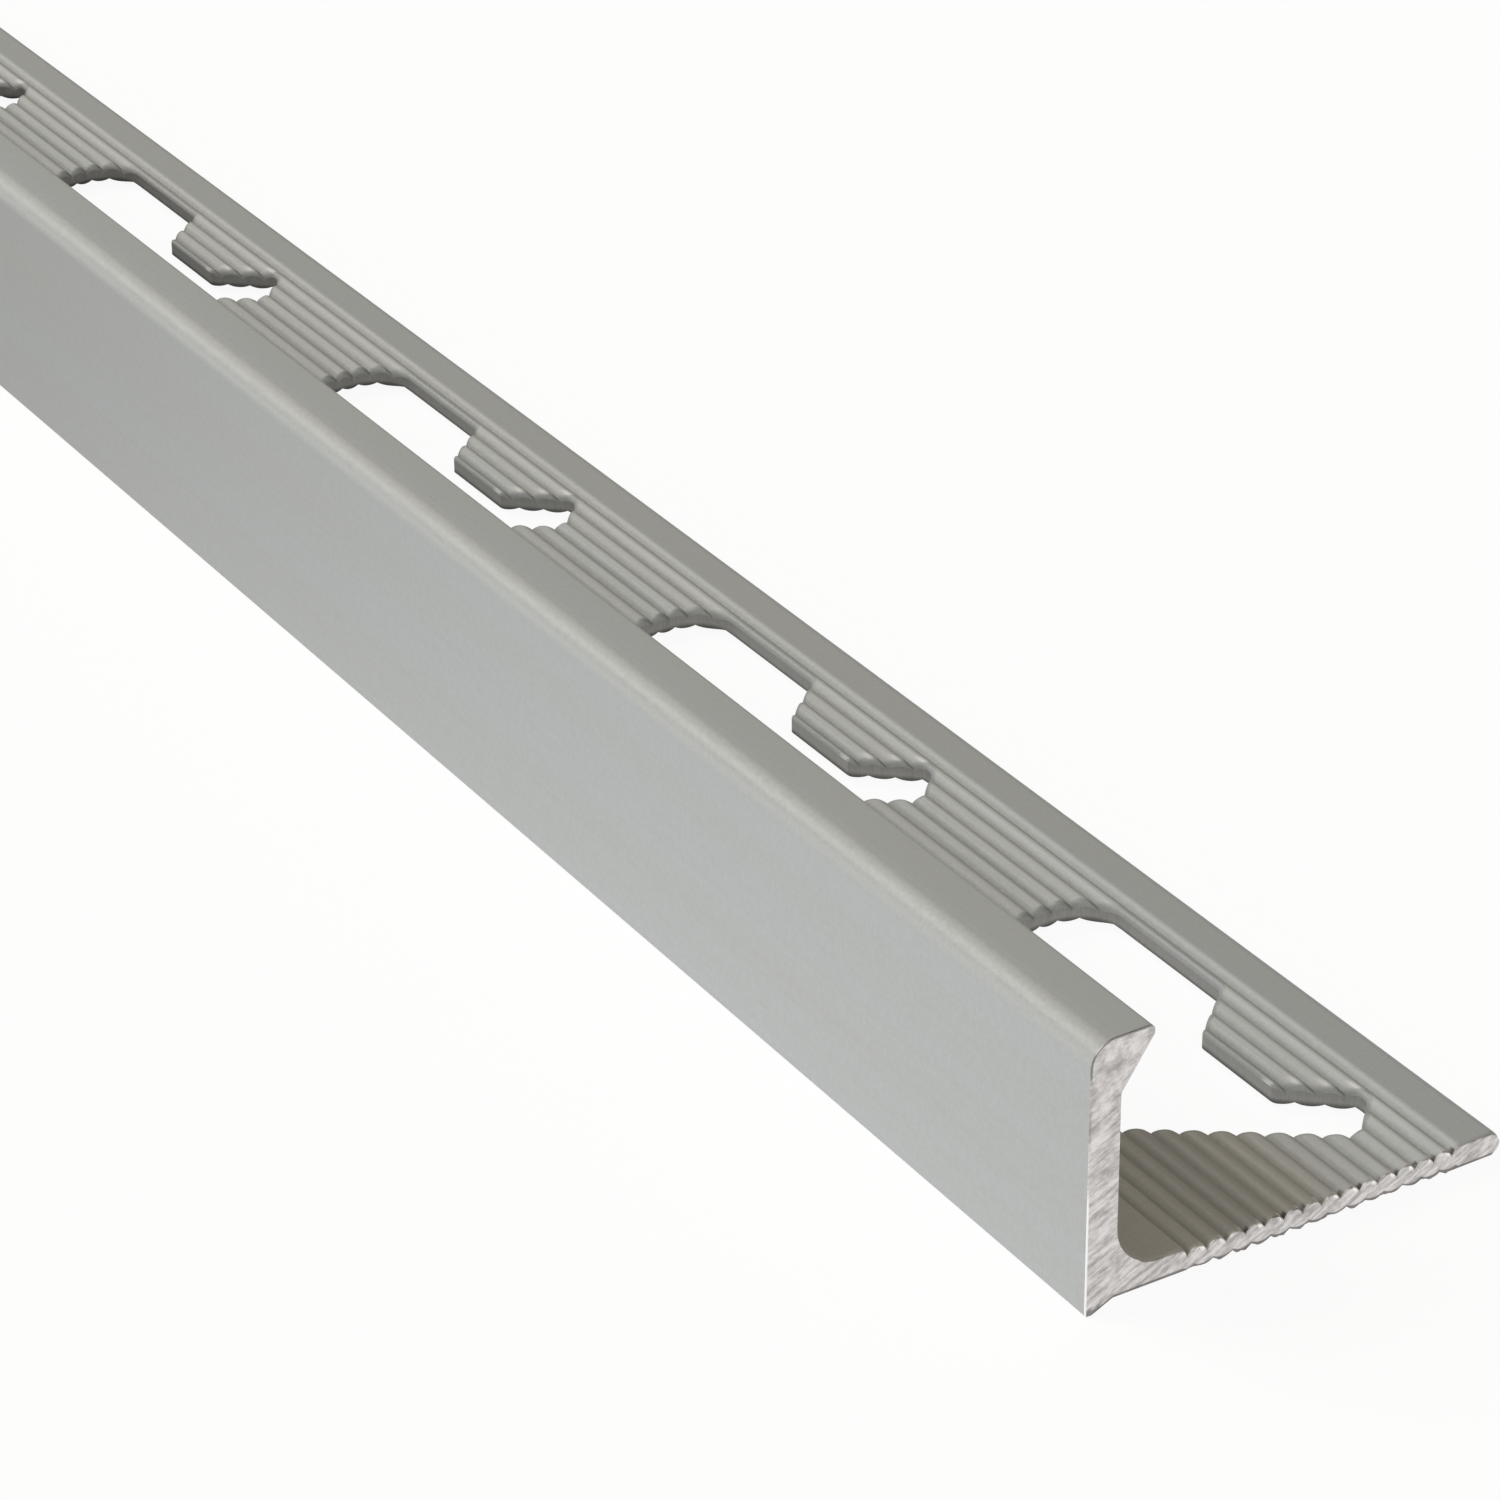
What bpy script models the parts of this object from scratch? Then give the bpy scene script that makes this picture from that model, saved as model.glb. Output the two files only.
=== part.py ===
"""Perforated aluminium angle profile, one piece of extruded stock, in metres, +Z up.

The section is an angle: a short upright with a bullnosed lip at its top, and a thin leg that is beaded on
both faces and punched with a row of large holes. A tongue of the leg reaches into each hole.
X runs across, from the upright's outer face to the leg's tip. Y runs along the length.
The origin is under the middle of the profile, at the level of the upright's foot.
"""
import math

import bmesh
import bpy

# Stock
LENGTH = 1.000
HEIGHT = 0.0126
LEG_WIDTH = 0.02058

# Upright and lip
WEB_THICKNESS = 0.00145
LIP_OVERHANG = 0.00151
LIP_DEPTH = 0.00265
LIP_NOSE = 0.00042
LIP_EDGE_RADIUS = 0.00025
BULLNOSE_RADIUS = 0.00115
INNER_RADIUS = 0.00215

# Foot of the upright, which reaches below the leg
TOE_CHAMFER = 0.00012
TOE_FLAT = 0.00030
TOE_WIDTH = 0.00135

# Leg
LEG_LEVEL = 0.00050
LEG_THICKNESS = 0.00100
FLAT_STRIP = 0.00135
TIP_STRIP = 0.00238
TIP_DROP = 0.00013
TIP_THICKNESS = 0.00105

# Beads, drawn as ridges between sharp valleys
BEAD_PITCH = 0.000943
BEAD_SETBACK = 0.00009
BEAD_HEIGHT_TOP = 0.00022
BEAD_HEIGHT_UNDER = 0.00014
UNDER_BEAD_DROP = 0.00010
UNDER_BEAD_SHIFT = 0.00029

# Punched holes
HOLE_PITCH = 0.0324
HOLE_LENGTH = 0.0214
END_STRUT = 0.0030
INNER_STRUT = 0.00055
OUTER_STRUT = 0.00300
NEAR_EDGE_DEGREES = 35.6
SLOT_SHOULDER = 0.0019
SLOT_END = 0.00060
TONGUE_LENGTH = 0.00265
TONGUE_TAPER = 0.00230
TONGUE_TIP = 0.0050
PUNCH_RADIUS = 0.0008
TONGUE_RADIUS = 0.0004
WINDOW_RADIUS = 0.0022
PUNCH_TRAVEL = 0.0010

# Facets in each rounded stretch
BULLNOSE_FACETS = 5
FILLET_FACETS = 5
TIP_FACETS = 6
CORNER_FACETS = 2
WINDOW_FACETS = 3

# Finish
ALUMINIUM_COLOUR = (0.62, 0.62, 0.60, 1.0)
ALUMINIUM_ROUGHNESS = 0.42
SMOOTH_ANGLE = math.radians(25)

LIP_WIDTH = WEB_THICKNESS + LIP_OVERHANG
LEG_TOP = LEG_LEVEL + LEG_THICKNESS
BEADS_START = WEB_THICKNESS + INNER_RADIUS + FLAT_STRIP
BEADS_END = LEG_WIDTH - TIP_STRIP


def arc(centre, radius, start, end, facets):
    """Points of a circular arc from one angle to the other, in degrees, both ends included."""
    points = []
    for step in range(facets + 1):
        angle = math.radians(start + (end - start) * step / facets)
        points.append((centre[0] + radius * math.cos(angle), centre[1] + radius * math.sin(angle)))
    return points


def bead_line(start, crest, valley):
    """Zigzag from the first valley to the last one before the tip's strip, with a crest between two valleys."""
    count = int((BEADS_END - start) / BEAD_PITCH)
    points = [(start, valley)]
    for bead in range(count):
        points.append((start + (bead + 0.5) * BEAD_PITCH, crest))
        points.append((start + (bead + 1) * BEAD_PITCH, valley))
    return points


def underside():
    """Foot, flat strip and beads of the underside, from the outer face towards the tip."""
    first = BEADS_START + UNDER_BEAD_SHIFT
    foot = [(0.0, TOE_CHAMFER), (TOE_CHAMFER, 0.0), (TOE_FLAT, 0.0), (TOE_WIDTH, LEG_LEVEL)]
    strip_end = (first - BEAD_PITCH / 4, LEG_LEVEL)
    crest = LEG_LEVEL - UNDER_BEAD_DROP
    beads = bead_line(first, crest, crest + BEAD_HEIGHT_UNDER)
    return foot + [strip_end] + beads


def tip():
    """Round edge of the leg, from its underside to its top."""
    radius = TIP_THICKNESS / 2
    level = LEG_LEVEL - TIP_DROP
    centre = (LEG_WIDTH - radius, level + radius)
    under_start = underside()[-1][0] + BEAD_PITCH / 2
    top_start = top_beads()[-1][0] + BEAD_PITCH / 2
    nose = arc(centre, radius, -90, 90, TIP_FACETS)
    return [(under_start, level)] + nose + [(top_start, level + TIP_THICKNESS)]


def top_beads():
    """Beads of the leg's top, from the flat strip towards the tip."""
    crest = LEG_TOP - BEAD_SETBACK
    return bead_line(BEADS_START, crest, crest - BEAD_HEIGHT_TOP)


def upright():
    """Inner fillet, web, undercut lip and bullnose, from the leg's flat strip up to the outer face."""
    strip_end = (BEADS_START - BEAD_PITCH / 4, LEG_TOP)
    fillet_centre = (WEB_THICKNESS + INNER_RADIUS, LEG_TOP + INNER_RADIUS)
    fillet = arc(fillet_centre, INNER_RADIUS, 270, 180, FILLET_FACETS)
    notch = (WEB_THICKNESS, HEIGHT - LIP_DEPTH)
    nose = (LIP_WIDTH, HEIGHT - LIP_NOSE)
    edge_centre = (LIP_WIDTH - LIP_EDGE_RADIUS, HEIGHT - LIP_EDGE_RADIUS)
    edge = arc(edge_centre, LIP_EDGE_RADIUS, 0, 90, CORNER_FACETS)
    bullnose_centre = (BULLNOSE_RADIUS, HEIGHT - BULLNOSE_RADIUS)
    bullnose = arc(bullnose_centre, BULLNOSE_RADIUS, 90, 180, BULLNOSE_FACETS)
    return [strip_end] + fillet + [notch, nose] + edge + bullnose


def section():
    """Closed outline of the profile, as (x, z) from the outer face and the foot."""
    return underside() + tip() + top_beads()[::-1] + upright()


def rounded(corners):
    """Outline with each corner (x, y, radius, facets) replaced by an arc that touches both its sides."""
    points = []
    for index, (x, y, radius, facets) in enumerate(corners):
        before = corners[index - 1]
        after = corners[(index + 1) % len(corners)]
        back = (before[0] - x, before[1] - y)
        ahead = (after[0] - x, after[1] - y)
        back_length = math.hypot(*back)
        ahead_length = math.hypot(*ahead)
        back = (back[0] / back_length, back[1] / back_length)
        ahead = (ahead[0] / ahead_length, ahead[1] / ahead_length)
        half = math.acos(back[0] * ahead[0] + back[1] * ahead[1]) / 2
        reach = min(radius / math.tan(half), 0.45 * back_length, 0.45 * ahead_length)
        distance = reach / math.cos(half)
        middle = (back[0] + ahead[0], back[1] + ahead[1])
        scale = distance / math.hypot(*middle)
        centre = (x + middle[0] * scale, y + middle[1] * scale)
        first = (x + back[0] * reach, y + back[1] * reach)
        last = (x + ahead[0] * reach, y + ahead[1] * reach)
        start = math.atan2(first[1] - centre[1], first[0] - centre[0])
        turn = math.atan2(last[1] - centre[1], last[0] - centre[0]) - start
        turn = (turn + math.pi) % (2 * math.pi) - math.pi
        points += arc(centre, reach * math.tan(half), math.degrees(start), math.degrees(start + turn), facets)
    return points


def hole(start):
    """Outline of one punched hole, as (x, y) from the outer face and the near end.

    It starts as a slot between the slanted near edge and the tongue, and opens into a wide window beyond it.
    """
    outer = LEG_WIDTH - OUTER_STRUT
    inner = BEADS_START + INNER_STRUT
    shoulder = outer - SLOT_SHOULDER
    tongue_x = outer - TONGUE_LENGTH
    slot_top = start + SLOT_SHOULDER
    tongue_base = slot_top + SLOT_END
    tongue_near = tongue_base + TONGUE_TAPER
    tongue_far = tongue_near + TONGUE_TIP
    window_start = tongue_far + TONGUE_TAPER
    end = start + HOLE_LENGTH
    slant_end = start + (shoulder - inner) * math.tan(math.radians(NEAR_EDGE_DEGREES))
    return rounded([
        (shoulder, start, PUNCH_RADIUS, CORNER_FACETS),
        (outer, slot_top, PUNCH_RADIUS, CORNER_FACETS),
        (outer, tongue_base, TONGUE_RADIUS, CORNER_FACETS),
        (tongue_x, tongue_near, TONGUE_RADIUS, CORNER_FACETS),
        (tongue_x, tongue_far, TONGUE_RADIUS, CORNER_FACETS),
        (outer, window_start, TONGUE_RADIUS, CORNER_FACETS),
        (outer, end, WINDOW_RADIUS, WINDOW_FACETS),
        (inner, end, WINDOW_RADIUS, WINDOW_FACETS),
        (inner, slant_end, WINDOW_RADIUS, CORNER_FACETS),
    ])


def hole_count():
    """Number of whole holes that leave an end strut at the far end."""
    return int((LENGTH - 2 * END_STRUT - HOLE_LENGTH) / HOLE_PITCH + 1)


def add_prism(mesh, outline, travel):
    """Closes an outline of 3-D points and carries it along a straight travel."""
    vertices = [mesh.verts.new(point) for point in outline]
    face = mesh.faces.new(vertices)
    result = bmesh.ops.extrude_face_region(mesh, geom=[face], use_keep_orig=True)
    moved = [item for item in result["geom"] if isinstance(item, bmesh.types.BMVert)]
    bmesh.ops.translate(mesh, verts=moved, vec=travel)


def make_object(name, mesh):
    """Turns a bmesh into an object of the scene with its faces pointing out."""
    bmesh.ops.recalc_face_normals(mesh, faces=mesh.faces[:])
    data = bpy.data.meshes.new(name)
    mesh.to_mesh(data)
    mesh.free()
    data.shade_smooth()
    data.set_sharp_from_angle(angle=SMOOTH_ANGLE)
    thing = bpy.data.objects.new(name, data)
    bpy.context.scene.collection.objects.link(thing)
    return thing


def aluminium():
    """Matt silver aluminium."""
    material = bpy.data.materials.new("aluminium")
    material.use_nodes = True
    shader = material.node_tree.nodes["Principled BSDF"]
    shader.inputs["Base Color"].default_value = ALUMINIUM_COLOUR
    shader.inputs["Metallic"].default_value = 1.0
    shader.inputs["Roughness"].default_value = ALUMINIUM_ROUGHNESS
    return material


def extruded_stock():
    """The profile before punching: its section carried along the whole length."""
    mesh = bmesh.new()
    outline = [(x - LEG_WIDTH / 2, -LENGTH / 2, z) for x, z in section()]
    add_prism(mesh, outline, (0.0, LENGTH, 0.0))
    return make_object("angle_profile", mesh)


def punch():
    """One cutter that holds every hole's prism, from under the leg to above its top."""
    mesh = bmesh.new()
    lowest = LEG_LEVEL - TIP_DROP - PUNCH_TRAVEL
    travel = LEG_THICKNESS + TIP_DROP + 2 * PUNCH_TRAVEL
    for number in range(hole_count()):
        start = END_STRUT + number * HOLE_PITCH
        outline = [(x - LEG_WIDTH / 2, y - LENGTH / 2, lowest) for x, y in hole(start)]
        add_prism(mesh, outline, (0.0, 0.0, travel))
    cutter = make_object("hole_punch", mesh)
    cutter.hide_render = True
    cutter.display_type = "WIRE"
    return cutter


def main():
    for thing in list(bpy.data.objects):
        bpy.data.objects.remove(thing)
    profile = extruded_stock()
    profile.data.materials.append(aluminium())
    cut = profile.modifiers.new("punched holes", "BOOLEAN")
    cut.operation = "DIFFERENCE"
    cut.solver = "EXACT"
    cut.object = punch()


main()
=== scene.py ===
"""Visual model of a perforated aluminium angle profile, built around its packed frame.

The profile is one closed surface: a section carried along the length, round beads on both faces of the leg,
and a row of punched holes with rolled edges. Local x runs from the upright's outer face to the leg's tip,
local y from the near end along the length, and z up from the foot. All sizes are in metres.
"""
import math

import bmesh
import bpy
import numpy as np
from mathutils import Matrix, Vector


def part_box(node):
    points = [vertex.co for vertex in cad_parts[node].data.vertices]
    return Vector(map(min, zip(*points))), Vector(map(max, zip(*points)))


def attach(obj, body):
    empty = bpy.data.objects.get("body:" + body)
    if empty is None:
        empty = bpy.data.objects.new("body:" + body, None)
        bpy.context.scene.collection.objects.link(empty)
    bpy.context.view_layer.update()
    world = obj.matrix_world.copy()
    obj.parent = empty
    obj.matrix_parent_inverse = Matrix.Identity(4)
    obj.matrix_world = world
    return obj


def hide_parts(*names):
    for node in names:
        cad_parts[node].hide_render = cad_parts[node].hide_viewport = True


bl_info = {
    "name": "Perforated Angle Profile",
    "version": (1, 0, 0),
    "blender": (4, 5, 0),
    "location": "3D View > Sidebar > Profile",
    "description": "Builds a punched and beaded aluminium angle profile, its finishes and a plain studio",
    "category": "Object",
}

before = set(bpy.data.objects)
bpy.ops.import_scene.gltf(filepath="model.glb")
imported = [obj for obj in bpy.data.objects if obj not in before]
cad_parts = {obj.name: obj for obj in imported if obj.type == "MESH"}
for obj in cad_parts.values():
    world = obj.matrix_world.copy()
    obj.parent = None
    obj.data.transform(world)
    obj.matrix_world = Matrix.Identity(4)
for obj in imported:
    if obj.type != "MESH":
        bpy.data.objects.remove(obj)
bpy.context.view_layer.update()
LOW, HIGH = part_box("angle_profile")

PIECE = "angle_profile_surface"
ROLLED = "rolled"
SATIN, SAWN, PUNCHED = 0, 1, 2
SEED = 7

# the point that the lights face, and the turn from which an edge stays sharp
LIT = Vector((0.0, -0.30, 0.0))
SHARP = math.radians(42)

# points nearer than MERGE become one, positions nearer than TOUCH are the same, and fillers keep a SPACING
MERGE = 2e-6
TOUCH = 1e-8
SPACING = 0.00003

# how much of a side a corner's arc may take, on an open path and on a hole's outline
PATH_SHARE = 0.98
HOLE_SHARE = 0.45

# facets of a hole's corner, for its exact outline and on the surface, and of the leg's round tip
FINE = 96
COARSE = 6
TIP_FACETS = 12

# rows of points by their distance from a sawn end, the worn edge's depth, and the burr's height and steps
SAW_ROWS = np.array([0.0, 0.00005, 0.00013, 0.00026])
WORN = 0.00016
BURR = 0.00012
BURR_STEP = 0.00021

# how far bright specks stand beside a groove
SPECK_SHIFT = 0.00026

# where the surroundings turn from bright to dark, and from the horizon to the sky
SIDEWAYS = (-0.7, 0.8)
SKYWARDS = (0.02, 0.25)


# sizes and finishes

def length(name, description, default):
    """A size in metres."""
    return bpy.props.FloatProperty(name=name, description=description, default=default, unit="LENGTH")


def colour(name, description, default):
    """A linear colour."""
    return bpy.props.FloatVectorProperty(
        name=name, description=description, default=default, subtype="COLOR", size=3, min=0.0, max=1.0)


def number(name, description, default):
    """A plain number."""
    return bpy.props.FloatProperty(name=name, description=description, default=default)


def power(name, description, default):
    """The power of a light in watts."""
    return bpy.props.FloatProperty(name=name, description=description, default=default, unit="POWER")


def count(name, description, default):
    """A whole number."""
    return bpy.props.IntProperty(name=name, description=description, default=default, min=1)


def place(name, description, default):
    """A place in the scene."""
    return bpy.props.FloatVectorProperty(
        name=name, description=description, default=default, subtype="TRANSLATION")


class SectionSizes(bpy.types.PropertyGroup):
    """Sizes of the extruded section."""
    length: length("Length", "Length of the profile", HIGH.y - LOW.y)
    height: length("Height", "From the foot to the top of the lip", HIGH.z - LOW.z)
    width: length("Leg width", "From the outer face to the leg's tip", HIGH.x - LOW.x)
    web: length("Web", "Thickness of the upright", 0.00145)
    overhang: length("Lip overhang", "How far the lip reaches past the web", 0.00151)
    lip_depth: length("Lip depth", "From the lip's top down to the notch", 0.00265)
    lip_nose: length("Lip nose", "Height of the lip's upright edge", 0.00042)
    bullnose: length("Bullnose radius", "Rounding between the outer face and the lip's top", 0.00115)
    fillet: length("Inner radius", "Fillet between the web and the leg", 0.00215)
    toe: length("Toe flat", "Width of the foot that touches the floor", 0.00030)
    toe_width: length("Toe width", "From the outer face to where the underside levels out", 0.00135)
    leg_level: length("Leg level", "Height of the leg's flat underside over the foot", 0.00050)
    leg: length("Leg thickness", "Thickness of the leg's flat strip", 0.00100)
    flat: length("Flat strip", "Width of the flat strip between the fillet and the beads", 0.00135)
    tip_strip: length("Tip strip", "Width of the plain strip at the leg's tip", 0.00238)
    tip_drop: length("Tip drop", "How far the tip's underside lies under the leg's", 0.00013)
    tip: length("Tip thickness", "Thickness of the leg's tip", 0.00105)
    edge: length("Edge radius", "Rounding of the lip's upper edge", 0.00025)
    corner: length("Corner radius", "Rounding of the small corners of the section", 0.00012)


class BeadSizes(bpy.types.PropertyGroup):
    """Sizes of the round beads on the leg."""
    pitch: length("Pitch", "Width of one bead", 0.000943)
    setback: length("Setback", "How far the top beads stay under the flat strip", 0.00009)
    rise: length("Top height", "Height of a top bead over its valleys", 0.00030)
    under_rise: length("Underside height", "Height of an underside bead", 0.00014)
    under_drop: length("Underside drop", "How far the underside beads reach under the flat strip", 0.00010)
    under_shift: length("Underside shift", "How far the underside beads are shifted along the leg", 0.00029)
    samples: count("Samples", "Facets across one bead", 8)


class HoleSizes(bpy.types.PropertyGroup):
    """Sizes of the punched holes."""
    pitch: length("Pitch", "From one hole to the next", 0.0324)
    reach: length("Length", "Length of one hole along the profile", 0.0214)
    end_strut: length("End strut", "From the near end to the first hole", 0.0030)
    inner_strut: length("Inner strut", "From the first bead to the hole", 0.00055)
    outer_strut: length("Outer strut", "From the hole to the leg's tip", 0.00300)
    slant: bpy.props.FloatProperty(
        name="Slant", description="Angle of the near edge", default=math.radians(35.6), subtype="ANGLE")
    shoulder: length("Shoulder", "Size of the slot's bevelled outer corner", 0.0019)
    slot_end: length("Slot end", "Straight end of the slot", 0.00060)
    tongue: length("Tongue length", "How far the tongue reaches into the hole", 0.00265)
    taper: length("Tongue taper", "Length of each slanted side of the tongue", 0.00230)
    tongue_tip: length("Tongue tip", "Width of the tongue's straight edge", 0.0050)
    punch_radius: length("Punch radius", "Rounding of the slot's corners", 0.0008)
    tongue_radius: length("Tongue radius", "Rounding of the tongue's corners", 0.0004)
    window_radius: length("Window radius", "Rounding of the window's corners", 0.0022)
    roll: length("Rolled edge", "Width of the edge that the punch rolled over", 0.00034)
    roll_drop: length("Rolled drop", "How far the rolled edge drops", 0.00028)


class FinishAndPaintedLight(bpy.types.PropertyGroup):
    """Colours and gloss of the aluminium, and the colours of its painted light and shade."""
    satin: colour("Satin", "Matt anodised faces", (0.542, 0.568, 0.580))
    satin_warm: colour("Satin, warm", "Warmer streaks on the anodised faces", (0.544, 0.556, 0.552))
    # painted shade of the upright on the leg, with a brown tint
    inner_shade: colour("Satin, inner", "Browner film on the leg near the upright", (0.490, 0.480, 0.443))
    # painted warm light in the corner between upright and leg, standing in for the upright's reflection
    corner_light: colour("Satin, corner", "Film in the corner between upright and leg", (0.65, 0.635, 0.587))
    sawn: colour("Sawn", "Bare sawn end", (0.84, 0.810, 0.793))
    sawn_dark: colour("Sawn, dark", "Grooves and smears of the sawn end", (0.415, 0.392, 0.380))
    punched: colour("Punched", "Sheared walls of the holes", (0.335, 0.333, 0.318))
    roughness: number("Roughness", "Roughness of the anodised faces", 0.76)
    metal: number("Metal", "Share of metallic reflection in the anodised faces", 0.92)
    # how much painted shade the rolled edges take
    roll_shade: number("Rolled share", "How far the rolled edges are darkened", 0.30)
    # makes the punched walls darker and browner near the upright
    darkening: colour("Stain", "Brown stain in the holes near the upright", (0.13, 0.095, 0.07))
    # random dark specks, and painted shade on the bullnose
    speck_and_nose_shade: colour("Dark film", "Specks, and the film on the bullnose", (0.36, 0.36, 0.35))
    # painted shade on the edges that the punch rolled over
    rolled: colour("Rolled", "Edges that the punch rolled over", (0.20, 0.195, 0.18))
    # painted highlight on the crests of the beads
    crest: colour("Crests", "Lit crests of the beads", (0.80, 0.815, 0.81))
    # painted highlight where the beads end at the tongue
    bead_end_highlight: colour("Bead ends", "Ends of the beads at the tongue", (0.97, 0.97, 0.95))
    # painted shade in the grooves between the beads
    groove: colour("Grooves", "Grooves between the beads", (0.20, 0.190, 0.165))
    # painted shadow in the grooves beside the sawn ends
    torn: colour("Torn", "Torn grooves beside the sawn ends", (0.07, 0.068, 0.055))
    # painted glint on the burr beside the sawn ends
    burr: colour("Burr", "Bright burr beside the sawn ends", (0.95, 0.93, 0.90))
    rim: colour("Rim", "Rim of the sawn lip", (0.15, 0.15, 0.135))
    foot_line: colour("Foot line", "Line along the sawn end's lower edge", (0.14, 0.13, 0.13))
    smear: colour("Smear", "Smear at the sawn toe", (0.12, 0.12, 0.115))
    upright_edge: colour("Upright's edge", "Line along the sawn upright's outer edge", (1.0, 1.0, 1.0))
    # painted glints beside the sawn leg's grooves
    edge_glint: colour("Flecks", "Flecks beside the sawn leg's grooves", (1.0, 0.99, 0.96))
    wall_edge: colour("Wall edge", "Lower edge of the punched walls", (0.06, 0.058, 0.05))


class StudioSettings(bpy.types.PropertyGroup):
    """Camera, floor and lights."""
    camera: place("Camera", "Place of the camera", (-0.109437, -0.637016, 0.120966))
    turn: bpy.props.FloatVectorProperty(
        name="Camera turn", description="Turn of the camera", subtype="EULER",
        default=(math.radians(60.522785), math.radians(0.534948), math.radians(-31.839276)))
    lens: number("Lens", "Focal length in millimetres", 126.735)
    floor_size: length("Floor", "Width of the floor", 12.0)
    floor_colour: colour("Floor colour", "Pale floor", (0.92, 0.92, 0.92))
    floor_glow: number("Floor lift", "Share of white that the camera sees in the floor", 0.92)
    floor_gloss: number("Floor reflection", "Share of white that reflections see in the floor", 0.86)
    # painted fall-off of light, seen in the floor's reflections
    floor_fall: number("Floor fall", "How far the reflected floor darkens away from the near end", 0.72)
    fall_start: length("Fall start", "Where the reflected floor begins to darken", 0.015)
    fall_end: length("Fall end", "Where the reflected floor is darkest", 0.15)
    horizon: colour("Horizon", "Surroundings near the horizon", (0.38, 0.375, 0.36))
    bright_side: colour("Bright side", "Surroundings on the side of the outer face", (0.46, 0.455, 0.425))
    dark_side: colour("Dark side", "Surroundings on the side of the leg", (0.190, 0.160, 0.128))
    side_place: place("Side light", "Place of the large side light", (-1.87, 1.57, 2.14))
    side_size: length("Side size", "Width of the side light", 2.4)
    side_power: power("Side power", "Power of the side light", 92.0)
    side_colour: colour("Side colour", "Colour of the side light", (1.00, 0.963, 0.905))
    front_place: place("Front light", "Place of the weak front light", (-0.5, -2.2, 1.6))
    front_size: length("Front size", "Width of the front light", 1.0)
    front_power: power("Front power", "Power of the front light", 12.0)
    front_colour: colour("Front colour", "Colour of the front light", (1.00, 0.99, 0.96))


# outlines

def corner_arcs(points, radii, share):
    """Fits an arc into each corner of a closed outline, touching both of its sides.

    The arc reaches back along the sides by its radius over the tangent of half the corner's angle, at most
    by a share of the shorter side. Its centre lies on the corner's bisector.
    """
    before = np.roll(points, 1, axis=0) - points
    after = np.roll(points, -1, axis=0) - points
    before_length = np.linalg.norm(before, axis=1)
    after_length = np.linalg.norm(after, axis=1)
    before /= before_length[:, None]
    after /= after_length[:, None]
    half = np.arccos(np.clip(np.sum(before * after, axis=1), -1.0, 1.0)) / 2
    reach = np.minimum(radii / np.tan(half), share * np.minimum(before_length, after_length))
    bisector = before + after
    centre = points + bisector * (reach / np.cos(half) / np.linalg.norm(bisector, axis=1))[:, None]
    first = points + before * reach[:, None] - centre
    last = points + after * reach[:, None] - centre
    start = np.arctan2(first[:, 1], first[:, 0])
    turn = (np.arctan2(last[:, 1], last[:, 0]) - start + math.pi) % (2 * math.pi) - math.pi
    return centre, reach * np.tan(half), start, turn


def arc_points(arcs, distance, samples):
    """Points of each corner's arc, on the outline that runs at a distance outside.

    A point is the centre plus the radius times cosine and sine. Corners that turn left grow by the distance
    and the others shrink by it, so the centres stay. Returns an array of corner, sample and coordinate.
    """
    centre, radius, start, turn = arcs
    angle = start[:, None] + turn[:, None] * np.linspace(0.0, 1.0, samples + 1)
    grown = radius + np.sign(turn) * distance
    circle = np.stack((np.cos(angle), np.sin(angle)), axis=-1)
    return centre[:, None, :] + grown[:, None, None] * circle


def rounded_path(points, radii, segments):
    """Open path through the points with its inner corners rounded, each in its own number of segments."""
    arcs = corner_arcs(np.array(points, float), np.array([0.0, *radii, 0.0]), PATH_SHARE)
    parts = [np.array(points[:1], float)]
    for index, steps in enumerate(segments):
        parts.append(arc_points(arcs, 0.0, steps)[index + 1])
    parts.append(np.array(points[-1:], float))
    return np.concatenate(parts)


# the section

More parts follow.
